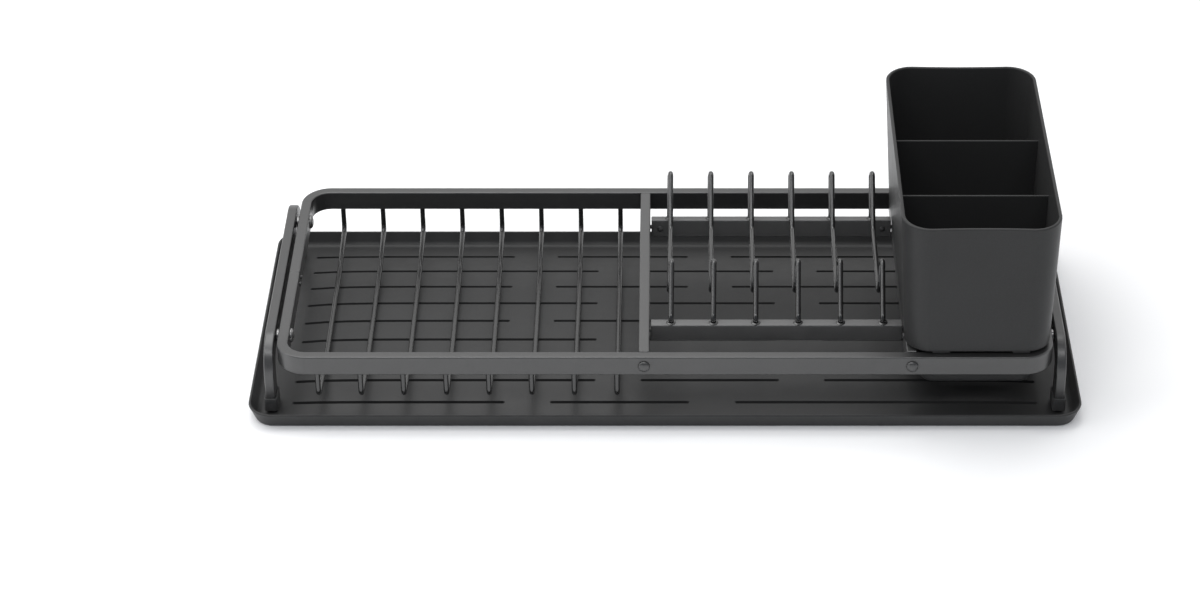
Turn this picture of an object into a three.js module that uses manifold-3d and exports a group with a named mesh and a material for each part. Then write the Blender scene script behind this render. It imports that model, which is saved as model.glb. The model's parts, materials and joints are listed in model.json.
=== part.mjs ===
// Compact dish drying rack: a bent-bar frame on two arched leg brackets, with glass wires, plate wires
// and a lift-out cutlery basket, standing in a shallow drip tray.
// Millimetres. X to the right, Y to the rear, Z up; the origin is the centre of the tray's underside.

import * as THREE from "three";
import { mergeVertices } from "three/addons/utils/BufferGeometryUtils.js";
import Module from "manifold-3d";

const wasm = await Module();
wasm.setup();

// ---- driving dimensions -------------------------------------------------------------------------

const FIT_GAP = 0.3; // clearance between pieces that touch on the real object
const BAR_T = 6; // flat bar, thickness
const BAR_H = 12; // flat bar, height
const BAR_TOP = 46; // top face of the frame, crossbars and brackets

const TRAY_HALF_X = 237.2;
const TRAY_HALF_Y = 97;
const TRAY_RIM_Z = 10;
const TRAY_RIM_R = 14.5; // plan radius of the rim's corners
const TRAY_FLARE = 4; // the base is this much smaller than the rim, all round
const TRAY_RIM_W = 1.5;
const TRAY_SHEET = 2; // thickness of the moulded floor
const TRAY_FLOOR_EDGE_Z = 2.5; // top of the floor where it meets the wall
const TRAY_CROWN = 6.5; // rise of the floor from its edge to its centre
const TRAY_STAND_W = 6; // width of the ring that the tray stands on

const FRAME_HALF_X = 219.2;
const FRAME_FRONT_Y = -91;
const FRAME_REAR_Y = 89.5;
const FRAME_R = 17; // outer plan radius of the frame's corners

const CROSSBAR_CENTRE_X = -11.8;
const CROSSBAR_RIGHT_X = 138.8;
const RAIL_Y = 55.4; // the plate rails lie at -RAIL_Y and +RAIL_Y
const RAIL_H = 11.5;
const RAIL_TILT = 7; // degrees; each rail's top leans away from the middle
const RAIL_TOP_Z = 45.7;

const WIRE_D = 3;
const WIRE_SIDES = 8;
const WIRE_SEAT = 4; // depth of the blind hole that a wire's end is pressed into
const WIRE_BEND = 5.5; // radius of a glass wire's corner bends
const WIRE_SWEEP = 60; // radius of its gentle bends
const GLASS_WIRES = 8;
const GLASS_WIRE_X = -196;
const GLASS_WIRE_PITCH = 24.12;
const GLASS_WIRE_REAR_Z = 17.5;
const GLASS_WIRE_FRONT_Z = 18;
const GLASS_WIRE_LOW_Z = 12.5;
const GLASS_WIRE_LOW_Y = 48; // the low middle run ends at -GLASS_WIRE_LOW_Y and +GLASS_WIRE_LOW_Y
const PLATE_WIRES = 6;
const PLATE_WIRE_X = 3.2;
const PLATE_WIRE_PITCH = 24.13;
const REAR_FIN = { y: 71.3, z: 67.1, lean: -0.3, rise: 45 }; // tip of a fin, its sideways lean and slope
const FRONT_FIN = { y: -26.5, z: 68.3, lean: -0.2, rise: 51 };
const FIN_HALF = 2.6; // half the distance between the two legs of a fin at its tip
const FIN_BEND = 2.5;
const KNEE = { y: 44.5, z: 44.5, r: 6 }; // where the rear fin's front leg turns into the floor strand
const LOW_BEND = { y: -36.5, z: 50.5, r: 5 }; // where the floor strand turns up into the front fin
const FIN_FOOT = { height: 3, r: 5 }; // a fin's outer leg bends this far above its rail
// Sideways offsets of a plate wire's bends, so that the two legs of each fin lie beside each other.
const PLATE_SKEW = { rearBase: -0.6, rearTip: 0, knee: 0.1, lowBend: -0.9, frontTip: 0.5, frontBase: 0.2 };

const BRACKET_X = 221.3; // inner face of each leg bracket
const BRACKET_T = 5.5;
const BRACKET_HALF_Y = 84;
const BRACKET_R = 20; // outer radius of the arch's bends
const LEG_END_Z = 5.7;
const FOOT_TOP_Z = 13;
const FOOT_WALL = 0.8;
const FOOT_EDGE = 0.4; // small chamfer round the foot, and the radius of its hollow's corners
const FOOT_FLOOR_Z = 4.3; // underside of the rubber foot, just above the tray's floor

const PIN_Y = 60; // bracket pins lie at -PIN_Y and +PIN_Y
const PIN_Z = 40;
const PIN_SHANK_R = 1.6;
const PIN_HEAD_R = 4;
const PIN_HEAD_H = 1.5;
const BRACKET_GRIP = 4; // depth of a pin's hole in the bracket
const RIVET_SHANK_R = 1.5;
const RIVET_HEAD_R = 3.4;
const RIVET_HEAD_H = 1.3;
const RIVET_GRIP = 7; // length of rivet hole in a crossbar's end
const HEAD_GAP = 0.6; // a head's underside stands this far off its face
const SCREW_SHANK_R = 1.2; // the sunk screws that go through the crossbars into the rails' ends
const SCREW_HEAD_R = 2.4;
const SCREW_HEAD_H = 1.2;
const SCREW_SINK = 1.4; // the head's underside lies this far inside the crossbar's far face
const SCREW_RECESS = 2; // depth of the recess round the head
const SCREW_GRIP = 3; // length of screw inside the rail
const SMALL_PIN_R = 0.9; // rail pins and stop pins
const SMALL_HEAD_R = 1.7;
const SMALL_HEAD_H = 0.8;
const SMALL_PIN_LENGTH = 4;
const RAIL_PIN_INSET = 5.2; // from a rail's end to the pin through its inner face
const STOP_PIN_Y = -60.6; // the stop pins lie just in front of the front rail
const SPLICE_PIN_Y = [0, -7]; // the two pins beside the butt joint of the frame's bar
const SPLICE_PIN_R = 0.7;
const SPLICE_HEAD_R = 1.2;
const SPLICE_HEAD_H = 0.5;
const SPLICE_PIN_LENGTH = 3;
const SPACER_R = 3.6;
const HOLE_CLEARANCE = 0.35; // radial, round every shank and wire end

const BASKET_RIM_Z = 131;
const BASKET_SHOULDER_Z = 47.5;
const BASKET_FLOOR_Z = 22;
const BASKET_WALL = 2;
const BASKET_R = 16; // plan radius of the rim's corners
const DIVIDER_Y = [-31.5, 28.5];
const DIVIDER_TOP_Z = 116;
const DIVIDER_T = 1.4;
const PAD_X = [155, 200]; // support pads under the basket's shoulder
const PAD_Y = [-86.3, 84.6];
const PAD_SIZE = [10, 2.4];
const SLOT_SIZE = [36, 4]; // drain slots through the basket's floor
const SLOT_STEP = 12;

// ---- colours and finishes -----------------------------------------------------------------------

const FINISH = {
  steel: { color: 0x4b4d50, roughness: 0.42, metalness: 0.75 },
  wire: { color: 0x45474a, roughness: 0.38, metalness: 0.7 },
  plastic: { color: 0x35373a, roughness: 0.62, metalness: 0 },
  basket: { color: 0x303234, roughness: 0.6, metalness: 0 },
  rubber: { color: 0x1d1e1f, roughness: 0.85, metalness: 0 },
  bright: { color: 0xb9bcbf, roughness: 0.3, metalness: 0.95 },
};

const group = new THREE.Group();

function addPiece(name, geometry, finish) {
  const mesh = new THREE.Mesh(geometry, new THREE.MeshStandardMaterial(FINISH[finish]));
  mesh.name = name;
  group.add(mesh);
  return mesh;
}

// ---- solids and booleans ------------------------------------------------------------------------

function toSolid(geometry) {
  const bare = new THREE.BufferGeometry();
  bare.setAttribute("position", geometry.getAttribute("position").clone());
  if (geometry.index) bare.setIndex(geometry.index.clone());
  const merged = mergeVertices(bare, 1e-4);
  return new wasm.Manifold(
    new wasm.Mesh({
      numProp: 3,
      vertProperties: new Float32Array(merged.getAttribute("position").array),
      triVerts: new Uint32Array(merged.index.array),
    }),
  );
}

function toGeometry(solid) {
  const mesh = solid.getMesh();
  const geometry = new THREE.BufferGeometry();
  geometry.setAttribute("position", new THREE.BufferAttribute(new Float32Array(mesh.vertProperties), 3));
  geometry.setIndex(new THREE.BufferAttribute(new Uint32Array(mesh.triVerts), 1));
  const flat = geometry.toNonIndexed();
  flat.computeVertexNormals();
  return flat;
}

function cut(geometry, cutters) {
  let solid = toSolid(geometry);
  for (const cutter of cutters) solid = solid.subtract(toSolid(cutter));
  return toGeometry(solid);
}

// A closed rod along X, Y or Z between two stations, for shanks, spacers and drills.
function rod(axis, radius, from, to, centre, sides = 10) {
  const geometry = new THREE.CylinderGeometry(radius, radius, Math.abs(to - from), sides);
  if (axis === "x") geometry.rotateZ(-Math.PI / 2);
  if (axis === "z") geometry.rotateX(Math.PI / 2);
  const middle = (from + to) / 2;
  const place = { x: [middle, ...centre], y: [centre[0], middle, centre[1]], z: [...centre, middle] };
  return geometry.translate(...place[axis]);
}

// A round-headed pin along +Y from the origin: the head stands at y < 0, the shank at y > 0.
function headedPin(headR, headH, shankR, shankLength, sides = 12) {
  const profile = [new THREE.Vector2(0, -headH)];
  const domeSteps = 3;
  for (let i = 1; i <= domeSteps; i += 1) {
    const a = (i / domeSteps) * (Math.PI / 2);
    profile.push(new THREE.Vector2(headR * Math.sin(a), -headH * Math.cos(a) - 0.01));
  }
  profile.push(new THREE.Vector2(headR, 0.3));
  profile.push(new THREE.Vector2(shankR, 0.3));
  profile.push(new THREE.Vector2(shankR, shankLength));
  profile.push(new THREE.Vector2(0, shankLength));
  return new THREE.LatheGeometry(profile, sides);
}

// ---- lofted skins -------------------------------------------------------------------------------

// A rounded rectangle, anticlockwise, with the same number of points whatever its size.
function roundedOutline({ cx = 0, cy = 0, hx, hy, r, arc = 4, alongX = 1, alongY = 1 }) {
  const points = [];
  const corners = [
    [cx + hx - r, cy + hy - r, 0, alongX],
    [cx - hx + r, cy + hy - r, 90, alongY],
    [cx - hx + r, cy - hy + r, 180, alongX],
    [cx + hx - r, cy - hy + r, 270, alongY],
  ];
  corners.forEach(([ox, oy, start, steps], index) => {
    for (let i = 0; i <= arc; i += 1) {
      const a = THREE.MathUtils.degToRad(start + (90 * i) / arc);
      points.push([ox + r * Math.cos(a), oy + r * Math.sin(a)]);
    }
    const [fromX, fromY] = points[points.length - 1];
    const [nx, ny, nextStart] = corners[(index + 1) % 4];
    const b = THREE.MathUtils.degToRad(nextStart);
    const toX = nx + r * Math.cos(b);
    const toY = ny + r * Math.sin(b);
    for (let i = 1; i < steps; i += 1) {
      points.push([fromX + ((toX - fromX) * i) / steps, fromY + ((toY - fromY) * i) / steps]);
    }
  });
  return points;
}

// A closed skin through rings of equal point counts; both end rings are closed to their middle.
function loft(rings) {
  const n = rings[0].length;
  const positions = [];
  const middle = (ring) => {
    const sum = ring.reduce((s, p) => [s[0] + p[0], s[1] + p[1], s[2] + p[2]], [0, 0, 0]);
    return sum.map((v) => v / n);
  };
  const first = rings[0];
  const last = rings[rings.length - 1];
  for (let i = 0; i < n; i += 1) {
    const j = (i + 1) % n;
    positions.push(...middle(first), ...first[j], ...first[i]);
    positions.push(...middle(last), ...last[i], ...last[j]);
    for (let k = 0; k + 1 < rings.length; k += 1) {
      positions.push(...rings[k][i], ...rings[k][j], ...rings[k + 1][j]);
      positions.push(...rings[k][i], ...rings[k + 1][j], ...rings[k + 1][i]);
    }
  }
  const geometry = new THREE.BufferGeometry();
  geometry.setAttribute("position", new THREE.BufferAttribute(new Float32Array(positions), 3));
  geometry.computeVertexNormals();
  return geometry;
}

// ---- bent wires ---------------------------------------------------------------------------------

// A polyline that ExtrudeGeometry follows point by point, so that only the bends have many steps.
class BentPath extends THREE.Curve {
  constructor(points) {
    super();
    this.points = points;
  }

  getPoint(t, target = new THREE.Vector3()) {
    const s = t * (this.points.length - 1);
    const i = Math.min(Math.floor(s), this.points.length - 2);
    return target.lerpVectors(this.points[i], this.points[i + 1], s - i);
  }

  getPointAt(u, target) {
    return this.getPoint(u, target);
  }

  getTangentAt(u, target = new THREE.Vector3()) {
    const i = Math.round(u * (this.points.length - 1));
    const before = this.points[Math.max(i - 1, 0)];
    const here = this.points[i];
    const after = this.points[Math.min(i + 1, this.points.length - 1)];
    const into = here.clone().sub(before).normalize();
    const out = after.clone().sub(here).normalize();
    return target.copy(into).add(out).normalize();
  }
}

// Corners { x, y, z, r } joined by straight runs, each inner corner bent to its radius r.
function bentPoints(corners, arcSteps = 4) {
  const at = corners.map(({ x, y, z }) => new THREE.Vector3(x, y, z));
  const points = [at[0]];
  for (let i = 1; i + 1 < at.length; i += 1) {
    const into = at[i].clone().sub(at[i - 1]).normalize();
    const out = at[i + 1].clone().sub(at[i]).normalize();
    const turn = into.angleTo(out);
    const reach = corners[i].r * Math.tan(turn / 2);
    const start = at[i].clone().addScaledVector(into, -reach);
    const end = at[i].clone().addScaledVector(out, reach);
    const toCentre = out.clone().sub(into).normalize();
    const centre = at[i].clone().addScaledVector(toCentre, corners[i].r / Math.cos(turn / 2));
    const a = start.clone().sub(centre);
    const b = end.clone().sub(centre);
    const steps = turn > 0.5 ? arcSteps : 1;
    for (let k = 0; k <= steps; k += 1) {
      const s = k / steps;
      const spoke = a.clone().multiplyScalar(Math.sin((1 - s) * turn));
      spoke.addScaledVector(b, Math.sin(s * turn)).divideScalar(Math.sin(turn));
      points.push(centre.clone().add(spoke));
    }
  }
  points.push(at[at.length - 1]);
  return points;
}

function bentWire(corners) {
  const section = new THREE.Shape();
  for (let i = 0; i < WIRE_SIDES; i += 1) {
    const a = ((i + 0.5) / WIRE_SIDES) * 2 * Math.PI;
    const place = [(WIRE_D / 2) * Math.cos(a), (WIRE_D / 2) * Math.sin(a)];
    if (i === 0) section.moveTo(...place);
    else section.lineTo(...place);
  }
  const points = bentPoints(corners);
  return new THREE.ExtrudeGeometry(section, { steps: points.length - 1, extrudePath: new BentPath(points) });
}

// ---- drip tray ----------------------------------------------------------------------------------

// Height of the floor's top: crowned, so that water runs to the edges, and nearly level along X.
function trayFloorZ(x, y) {
  const alongY = 1 - Math.min(1, Math.abs(y) / 91.3) ** 2;
  const alongX = 1 - Math.min(1, Math.abs(x) / 235) ** 13;
  return TRAY_FLOOR_EDGE_Z + TRAY_CROWN * alongY * alongX;
}

function trayOutline(inset, scale = 1) {
  const outline = roundedOutline({
    hx: TRAY_HALF_X - inset,
    hy: TRAY_HALF_Y - inset,
    r: Math.max(TRAY_RIM_R - inset, 4),
    arc: 4,
    alongX: 12,
    alongY: 5,
  });
  return outline.map(([x, y]) => [x * scale, y * scale]);
}

function addTray() {
  const level = (outline, z) => outline.map(([x, y]) => [x, y, z]);
  const onFloor = (outline, drop) => outline.map(([x, y]) => [x, y, trayFloorZ(x, y) - drop]);
  const foot = TRAY_FLARE + TRAY_STAND_W;
  const floorEdge = TRAY_FLARE + TRAY_RIM_W;
  const scales = [0.94, 0.86, 0.7, 0.5, 0.25];
  const rings = [
    ...[...scales].reverse().map((s) => onFloor(trayOutline(foot, s), TRAY_SHEET)),
    onFloor(trayOutline(foot + 1), TRAY_SHEET),
    level(trayOutline(foot), 0),
    level(trayOutline(TRAY_FLARE), 0),
    level(trayOutline(0), TRAY_RIM_Z),
    level(trayOutline(TRAY_RIM_W), TRAY_RIM_Z),
    level(trayOutline(floorEdge), TRAY_FLOOR_EDGE_Z),
    ...scales.map((s) => onFloor(trayOutline(floorEdge, s), 0)),
  ];
  addPiece("tray", loft(rings), "plastic");
}

// ---- frame, crossbars and plate rails -----------------------------------------------------------

function roundedRectPath(path, halfX, front, rear, r) {
  path.moveTo(-halfX + r, front);
  path.lineTo(halfX - r, front);
  path.absarc(halfX - r, front + r, r, -Math.PI / 2, 0, false);
  path.lineTo(halfX, rear - r);
  path.absarc(halfX - r, rear - r, r, 0, Math.PI / 2, false);
  path.lineTo(-halfX + r, rear);
  path.absarc(-halfX + r, rear - r, r, Math.PI / 2, Math.PI, false);
  path.lineTo(-halfX, front + r);
  path.absarc(-halfX + r, front + r, r, Math.PI, 1.5 * Math.PI, false);
  return path;
}

const glassWireX = (i) => GLASS_WIRE_X + GLASS_WIRE_PITCH * i;
const GLASS_WIRE_END_Y = [FRAME_FRONT_Y + BAR_T / 2, FRAME_REAR_Y - BAR_T / 2];

function addFrame() {
  const shape = roundedRectPath(new THREE.Shape(), FRAME_HALF_X, FRAME_FRONT_Y, FRAME_REAR_Y, FRAME_R);
  const bay = roundedRectPath(
    new THREE.Path(),
    FRAME_HALF_X - BAR_T,
    FRAME_FRONT_Y + BAR_T,
    FRAME_REAR_Y - BAR_T,
    FRAME_R - BAR_T,
  );
  shape.holes.push(bay);
  const bar = new THREE.ExtrudeGeometry(shape, { depth: BAR_H, bevelEnabled: false, curveSegments: 6 });
  bar.translate(0, 0, BAR_TOP - BAR_H);

  const drills = [];
  const wireR = WIRE_D / 2 + HOLE_CLEARANCE;
  for (let i = 0; i < GLASS_WIRES; i += 1) {
    for (const y of GLASS_WIRE_END_Y) {
      const under = BAR_TOP - BAR_H;
      drills.push(rod("z", wireR, under - 1, under + WIRE_SEAT, [glassWireX(i), y], WIRE_SIDES));
    }
  }
  for (const x of [CROSSBAR_CENTRE_X, CROSSBAR_RIGHT_X]) {
    const r = RIVET_SHANK_R + HOLE_CLEARANCE;
    drills.push(rod("y", r, FRAME_FRONT_Y - 1, FRAME_FRONT_Y + BAR_T + 1, [x, PIN_Z]));
    drills.push(rod("y", r, FRAME_REAR_Y - BAR_T - 1, FRAME_REAR_Y + 1, [x, PIN_Z]));
  }
  for (const side of [-1, 1]) {
    for (const y of [-PIN_Y, PIN_Y]) {
      const from = side * (FRAME_HALF_X - BAR_T - 1);
      drills.push(rod("x", PIN_SHANK_R + HOLE_CLEARANCE, from, side * (FRAME_HALF_X + 1), [y, PIN_Z]));
    }
  }
  const inner = -FRAME_HALF_X + BAR_T;
  for (const y of SPLICE_PIN_Y) {
    const r = SPLICE_PIN_R + HOLE_CLEARANCE;
    drills.push(rod("x", r, inner - SPLICE_PIN_LENGTH, inner + 1, [y, PIN_Z], 8));
  }
  addPiece("frame_bar", cut(bar, drills), "steel");
}

// A crossbar takes a rivet in each end, the two rails' end screws right through, and one stop pin.
function addCrossbar(name, x) {
  const front = FRAME_FRONT_Y + BAR_T + FIT_GAP;
  const rear = FRAME_REAR_Y - BAR_T - FIT_GAP;
  const bar = new THREE.BoxGeometry(BAR_T, rear - front, BAR_H);
  bar.translate(x, (front + rear) / 2, BAR_TOP - BAR_H / 2);
  const rivetR = RIVET_SHANK_R + HOLE_CLEARANCE;
  const drills = [
    rod("y", rivetR, front - 1, front + RIVET_GRIP, [x, PIN_Z]),
    rod("y", rivetR, rear - RIVET_GRIP, rear + 1, [x, PIN_Z]),
  ];
  const railSide = x < 0 ? 1 : -1;
  const railFace = x + (railSide * BAR_T) / 2;
  const farFace = x - (railSide * BAR_T) / 2;
  const screwR = SCREW_SHANK_R + HOLE_CLEARANCE;
  const recessR = SCREW_HEAD_R + HOLE_CLEARANCE;
  const pinR = SMALL_PIN_R + HOLE_CLEARANCE;
  for (const side of [-1, 1]) {
    const { centre } = railFrame(side);
    const onScrew = [centre.y, centre.z];
    drills.push(rod("x", screwR, x - BAR_T, x + BAR_T, onScrew));
    drills.push(rod("x", recessR, farFace - railSide, farFace + railSide * SCREW_RECESS, onScrew));
  }
  const pinEnd = railFace - railSide * SMALL_PIN_LENGTH;
  drills.push(rod("x", pinR, pinEnd, railFace + railSide, [STOP_PIN_Y, PIN_Z], 8));
  addPiece(name, cut(bar, drills), "steel");
}

// The dome-headed rivet that holds a crossbar's end to the frame; toRear is true at the rear bar.
function addRivet(name, x, toRear) {
  const length = BAR_T + RIVET_GRIP - 1;
  const mesh = addPiece(name, headedPin(RIVET_HEAD_R, RIVET_HEAD_H, RIVET_SHANK_R, length), "steel");
  const face = toRear ? FRAME_REAR_Y + HEAD_GAP : FRAME_FRONT_Y - HEAD_GAP;
  mesh.position.set(x, face, PIN_Z);
  if (toRear) mesh.rotation.z = Math.PI;
}

const RAIL_LEFT_X = CROSSBAR_CENTRE_X + BAR_T / 2 + 0.7;
const RAIL_RIGHT_X = CROSSBAR_RIGHT_X - BAR_T / 2 - 0.7;
const RAIL_HALF_X = (RAIL_RIGHT_X - RAIL_LEFT_X) / 2;
const RAIL_MIDDLE_X = (RAIL_LEFT_X + RAIL_RIGHT_X) / 2;
const plateWireX = (j) => PLATE_WIRE_X + PLATE_WIRE_PITCH * j;

// side is 1 for the rear rail and -1 for the front one; "up" is the direction square to its top face.
function railFrame(side) {
  const tilt = THREE.MathUtils.degToRad(RAIL_TILT);
  const up = { y: side * Math.sin(tilt), z: Math.cos(tilt) };
  const centre = { y: side * RAIL_Y - (up.y * RAIL_H) / 2, z: RAIL_TOP_Z - (up.z * RAIL_H) / 2 };
  const above = (h) => ({ y: centre.y + up.y * (RAIL_H / 2 + h), z: centre.z + up.z * (RAIL_H / 2 + h) });
  return { tilt: -side * tilt, centre, above };
}

function addPlateRail(name, side) {
  const { tilt, centre } = railFrame(side);
  const bar = new THREE.BoxGeometry(2 * RAIL_HALF_X, BAR_T, RAIL_H);
  const drills = [];
  for (let j = 0; j < PLATE_WIRES; j += 1) {
    const skew = side > 0 ? PLATE_SKEW.rearBase : PLATE_SKEW.frontBase;
    const x = plateWireX(j) + skew - RAIL_MIDDLE_X;
    const r = WIRE_D / 2 + HOLE_CLEARANCE;
    drills.push(rod("z", r, RAIL_H / 2 - WIRE_SEAT - FIT_GAP, RAIL_H / 2 + 1, [x, 0], WIRE_SIDES));
  }
  for (const end of [-1, 1]) {
    const screwR = SCREW_SHANK_R + HOLE_CLEARANCE;
    const bottom = end * (RAIL_HALF_X - SCREW_GRIP - FIT_GAP);
    drills.push(rod("x", screwR, bottom, end * (RAIL_HALF_X + 1), [0, 0]));
    const pinR = SMALL_PIN_R + HOLE_CLEARANCE;
    const pinX = end * (RAIL_HALF_X - RAIL_PIN_INSET);
    drills.push(rod("y", pinR, -side * (BAR_T / 2 + 1), side * (SMALL_PIN_LENGTH - BAR_T / 2), [pinX, 0], 8));
  }
  const mesh = addPiece(name, cut(bar, drills), "steel");
  mesh.position.set(RAIL_MIDDLE_X, centre.y, centre.z);
  mesh.rotation.x = tilt;
}

// A sunk screw through a crossbar into the rail's end; end is -1 at the left crossbar, 1 at the right.
function addRailScrew(name, side, end) {
  const { centre } = railFrame(side);
  const crossbarX = end < 0 ? CROSSBAR_CENTRE_X : CROSSBAR_RIGHT_X;
  const seat = crossbarX + end * (BAR_T / 2 - SCREW_SINK);
  const length = Math.abs(seat - RAIL_MIDDLE_X) - RAIL_HALF_X + SCREW_GRIP;
  const mesh = addPiece(name, headedPin(SCREW_HEAD_R, SCREW_HEAD_H, SCREW_SHANK_R, length), "steel");
  mesh.position.set(seat, centre.y, centre.z);
  mesh.rotation.z = end < 0 ? -Math.PI / 2 : Math.PI / 2;
}

// The small pin through a rail's inner face, square to it.
function addRailPin(name, side, end) {
  const { tilt, centre } = railFrame(side);
  const geometry = headedPin(SMALL_HEAD_R, SMALL_HEAD_H, SMALL_PIN_R, SMALL_PIN_LENGTH, 8);
  const mesh = addPiece(name, geometry, "steel");
  const off = -side * (BAR_T / 2 + HEAD_GAP);
  const x = RAIL_MIDDLE_X + end * (RAIL_HALF_X - RAIL_PIN_INSET);
  mesh.position.set(x, centre.y + off * Math.cos(tilt), centre.z + off * Math.sin(tilt));
  mesh.rotation.set(tilt, 0, side < 0 ? Math.PI : 0);
}

// The small pin in a crossbar's face beside the front rail, which keeps the rail from turning on its screw.
function addStopPin(name, end) {
  const geometry = headedPin(SMALL_HEAD_R, SMALL_HEAD_H, SMALL_PIN_R, SMALL_PIN_LENGTH, 8);
  const mesh = addPiece(name, geometry, "steel");
  const crossbarX = end < 0 ? CROSSBAR_CENTRE_X : CROSSBAR_RIGHT_X;
  mesh.position.set(crossbarX - end * (BAR_T / 2 + HEAD_GAP), STOP_PIN_Y, PIN_Z);
  mesh.rotation.z = end < 0 ? Math.PI / 2 : -Math.PI / 2;
}

// ---- glass wires and plate wires ----------------------------------------------------------------

function addGlassWire(name, x) {
  const [frontY, rearY] = GLASS_WIRE_END_Y;
  const endZ = BAR_TOP - BAR_H + WIRE_SEAT - FIT_GAP;
  const wire = bentWire([
    { x, y: rearY, z: endZ },
    { x, y: rearY, z: GLASS_WIRE_REAR_Z, r: WIRE_BEND },
    { x, y: GLASS_WIRE_LOW_Y, z: GLASS_WIRE_LOW_Z, r: WIRE_SWEEP },
    { x, y: -GLASS_WIRE_LOW_Y, z: GLASS_WIRE_LOW_Z, r: WIRE_SWEEP },
    { x, y: frontY, z: GLASS_WIRE_FRONT_Z, r: WIRE_BEND },
    { x, y: frontY, z: endZ },
  ]);
  addPiece(name, wire, "wire");
}

// The round tip of a fin is two square bends, either side of the tip, along the fin's slope.
function finTip(x, { y, z, lean, rise }) {
  const slope = THREE.MathUtils.degToRad(rise);
  const bend = (sign) => ({
    x: x + sign * lean,
    y: y + sign * FIN_HALF * Math.sin(slope),
    z: z - sign * FIN_HALF * Math.cos(slope),
    r: FIN_BEND,
  });
  return [bend(1), bend(-1)];
}

function addPlateWire(name, x) {
  const rear = railFrame(1);
  const front = railFrame(-1);
  const inSeat = -WIRE_SEAT + FIT_GAP;
  const rearX = x + PLATE_SKEW.rearBase;
  const frontX = x + PLATE_SKEW.frontBase;
  const wire = bentWire([
    { x: rearX, ...rear.above(inSeat) },
    { x: rearX, ...rear.above(FIN_FOOT.height), r: FIN_FOOT.r },
    ...finTip(x + PLATE_SKEW.rearTip, REAR_FIN),
    { x: x + PLATE_SKEW.knee, ...KNEE },
    { x: x + PLATE_SKEW.lowBend, ...LOW_BEND },
    ...finTip(x + PLATE_SKEW.frontTip, FRONT_FIN),
    { x: frontX, ...front.above(FIN_FOOT.height), r: FIN_FOOT.r },
    { x: frontX, ...front.above(inSeat) },
  ]);
  addPiece(name, wire, "wire");
}

// ---- leg brackets, feet and pins ----------------------------------------------------------------

function bracketOutline() {
  const outer = BRACKET_HALF_Y;
  const inner = outer - BAR_H;
  const bendY = outer - BRACKET_R;
  const bendZ = BAR_TOP - BRACKET_R;
  const innerR = BRACKET_R - BAR_H;
  const shape = new THREE.Shape();
  shape.moveTo(outer, LEG_END_Z);
  shape.lineTo(outer, bendZ);
  shape.absarc(bendY, bendZ, BRACKET_R, 0, Math.PI / 2, false);
  shape.lineTo(-bendY, BAR_TOP);
  shape.absarc(-bendY, bendZ, BRACKET_R, Math.PI / 2, Math.PI, false);
  shape.lineTo(-outer, LEG_END_Z);
  shape.lineTo(-inner, LEG_END_Z);
  shape.lineTo(-inner, bendZ);
  shape.absarc(-bendY, bendZ, innerR, Math.PI, Math.PI / 2, true);
  shape.lineTo(bendY, BAR_TOP - BAR_H);
  shape.absarc(bendY, bendZ, innerR, Math.PI / 2, 0, true);
  shape.lineTo(inner, LEG_END_Z);
  return shape;
}

function addLegBracket(name, side) {
  const bends = { depth: BRACKET_T, bevelEnabled: false, curveSegments: 6 };
  const arch = new THREE.ExtrudeGeometry(bracketOutline(), bends);
  arch.rotateX(Math.PI / 2).rotateZ(Math.PI / 2);
  arch.translate(side > 0 ? BRACKET_X : -BRACKET_X - BRACKET_T, 0, 0);
  const drills = [-PIN_Y, PIN_Y].map((y) => {
    const bottom = side * (BRACKET_X + BRACKET_GRIP);
    return rod("x", PIN_SHANK_R + HOLE_CLEARANCE, side * (BRACKET_X - 1), bottom, [y, PIN_Z]);
  });
  addPiece(name, cut(arch, drills), "steel");
}

// A rubber sleeve closed at the bottom, over the end of a bracket's leg.
function addFoot(name, side, y) {
  const x = side * (BRACKET_X + BRACKET_T / 2);
  const hx = BRACKET_T / 2 + FIT_GAP;
  const hy = BAR_H / 2 + FIT_GAP;
  const ring = (grow, z) => {
    const plan = { cx: x, cy: y, hx: hx + grow, hy: hy + grow, r: FOOT_EDGE + grow, arc: 2 };
    return roundedOutline(plan).map(([px, py]) => [px, py, z]);
  };
  const sleeve = loft([
    ring(FOOT_WALL - FOOT_EDGE, FOOT_FLOOR_Z),
    ring(FOOT_WALL, FOOT_FLOOR_Z + FOOT_EDGE),
    ring(FOOT_WALL, FOOT_TOP_Z),
    ring(0, FOOT_TOP_Z),
    ring(0, LEG_END_Z - FIT_GAP),
  ]);
  addPiece(name, sleeve, "rubber");
}

// The pin's head is inside the frame; its shank crosses the frame and the spacer into the bracket.
function addBracketPin(name, side, y) {
  const inner = FRAME_HALF_X - BAR_T;
  const length = BRACKET_X + BRACKET_GRIP - HOLE_CLEARANCE - inner + HEAD_GAP;
  const mesh = addPiece(name, headedPin(PIN_HEAD_R, PIN_HEAD_H, PIN_SHANK_R, length), "bright");
  mesh.position.set(side * (inner - HEAD_GAP), y, PIN_Z);
  mesh.rotation.z = side > 0 ? -Math.PI / 2 : Math.PI / 2;
}

function addPinSpacer(name, side, y) {
  const from = side * (FRAME_HALF_X + FIT_GAP);
  const to = side * (BRACKET_X - FIT_GAP);
  const ring = rod("x", SPACER_R, from, to, [y, PIN_Z], 12);
  const drill = rod("x", PIN_SHANK_R + HOLE_CLEARANCE, from - side, to + side, [y, PIN_Z]);
  addPiece(name, cut(ring, [drill]), "bright");
}

function addSplicePin(name, y) {
  const geometry = headedPin(SPLICE_HEAD_R, SPLICE_HEAD_H, SPLICE_PIN_R, SPLICE_PIN_LENGTH, 8);
  const mesh = addPiece(name, geometry, "steel");
  mesh.position.set(-FRAME_HALF_X + BAR_T + HEAD_GAP, y, PIN_Z);
  mesh.rotation.z = Math.PI / 2;
}

// ---- cutlery basket -----------------------------------------------------------------------------

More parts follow.
